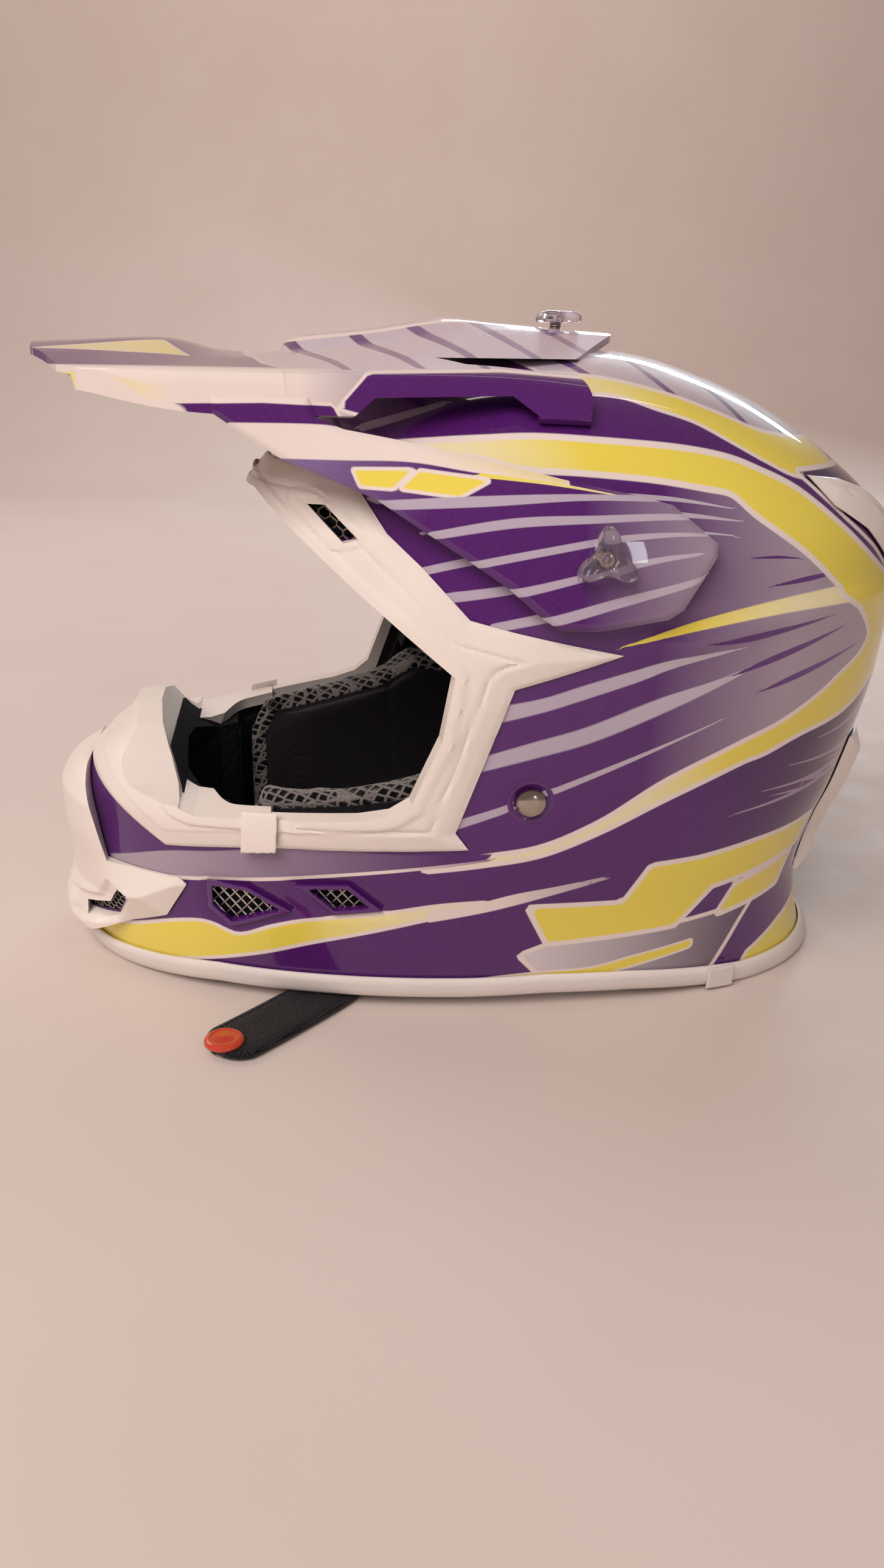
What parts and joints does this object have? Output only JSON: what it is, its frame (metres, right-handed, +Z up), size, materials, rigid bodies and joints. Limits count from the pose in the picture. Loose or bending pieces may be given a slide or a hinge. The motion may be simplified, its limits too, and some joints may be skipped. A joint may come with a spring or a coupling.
{
  "type": "motocross helmet",
  "caption": "Full face off-road helmet with a tilting peak on thumb screws, open eye port, vented chin bar, foam liners, cheek pads and a strap with two D rings.",
  "frame": {"origin": "on the surface the helmet stands on, under the middle of its bounding box", "axes": "+Z up, -Y towards the face opening and the peak's tip, +X towards the wearer's left; X = 0 is the helmet's middle plane"},
  "size_m": [0.2676, 0.3505, 0.258],
  "materials": {
    "shell_paint": "clear-coated painted graphics: deep violet, silver-lilac, yellow and white",
    "peak_paint": "glossy printed film over moulded plastic",
    "impact_foam": "moulded bead foam, matt black",
    "soft_foam": "open cell foam, matt",
    "liner_cloth": "black brushed cloth with grey spacer mesh on the edges",
    "white_rubber": "soft white moulded rubber, satin",
    "white_plastic": "white moulded plastic, satin",
    "black_plastic": "black moulded plastic",
    "expanded_metal": "expanded metal mesh, satin silver",
    "clear_plastic": "clear moulded thumb screw, glossy",
    "webbing": "black woven webbing",
    "snap_enamel": "dark red enamelled snap button",
    "plated_steel": "plated steel, satin"
  },
  "bodies": {
    "helmet": {"outer_shell": "shell_paint", "crown_liner": "impact_foam", "chin_liner": "impact_foam", "breath_foam": "soft_foam", "comfort_liner": "liner_cloth", "neck_roll": "liner_cloth", "cheek_pad_left": "liner_cloth", "cheek_pad_right": "liner_cloth", "eye_port_trim": "white_rubber", "mouthpiece": "white_plastic", "mouthpiece_clip_left": "white_plastic", "mouthpiece_clip_right": "white_plastic", "mouth_vent": "white_plastic", "rim_trim": "white_rubber", "rim_join_left": "white_rubber", "rim_join_right": "white_rubber", "rear_scoop": "white_plastic", "rear_exhaust_left": "white_plastic", "rear_exhaust_right": "white_plastic", "brow_screw": "plated_steel", "brow_grille_left": "black_plastic", "brow_grille_right": "black_plastic", "mouth_grille_left": "black_plastic", "mouth_grille_right": "black_plastic", "chin_front_mesh_left": "expanded_metal", "chin_front_mesh_right": "expanded_metal", "chin_rear_mesh_left": "expanded_metal", "chin_rear_mesh_right": "expanded_metal", "peak_spacer_left": "black_plastic", "peak_spacer_right": "black_plastic", "peak_nut_left": "plated_steel", "peak_nut_right": "plated_steel", "peak_top_spacer": "black_plastic", "peak_top_nut": "plated_steel", "strap_long": "webbing", "strap_short": "webbing", "strap_rivet_left": "plated_steel", "strap_rivet_right": "plated_steel", "strap_washer_left": "plated_steel", "strap_washer_right": "plated_steel", "snap_cap": "snap_enamel", "snap_socket": "plated_steel"},
    "peak": {"peak": "peak_paint"},
    "left_knob": {"peak_knob_left": "clear_plastic"},
    "right_knob": {"peak_knob_right": "clear_plastic"},
    "top_knob": {"peak_top_knob": "clear_plastic"},
    "inner_ring": {"d_ring_inner": "plated_steel"},
    "outer_ring": {"d_ring_outer": "plated_steel"}
  },
  "joints": [
    {"name": "peak_tilt", "type": "hinge", "parent": "helmet", "child": "peak", "pos_m": [0, 0.0265, 0.18], "axis": [1, 0, 0], "range_deg": [-5, 3]},
    {"name": "left_knob_turn", "type": "hinge", "parent": "helmet", "child": "left_knob", "pos_m": [0.13, 0.0265, 0.18], "axis": [1, 0, 0], "continuous": true},
    {"name": "right_knob_turn", "type": "hinge", "parent": "helmet", "child": "right_knob", "pos_m": [-0.13, 0.0265, 0.18], "axis": [-1, 0, 0], "continuous": true},
    {"name": "top_knob_turn", "type": "hinge", "parent": "helmet", "child": "top_knob", "pos_m": [0, 0.035, 0.255], "axis": [0, 0, 1], "continuous": true},
    {"name": "inner_ring_swing", "type": "hinge", "parent": "helmet", "child": "inner_ring", "pos_m": [-0.04461, -0.06452, 0.0043], "axis": [-0.3783, -0.9257, 0], "range_deg": [0, 22]},
    {"name": "outer_ring_swing", "type": "hinge", "parent": "helmet", "child": "outer_ring", "pos_m": [-0.03859, -0.06698, 0.0043], "axis": [-0.3783, -0.9257, 0], "range_deg": [0, 18]}
  ]
}
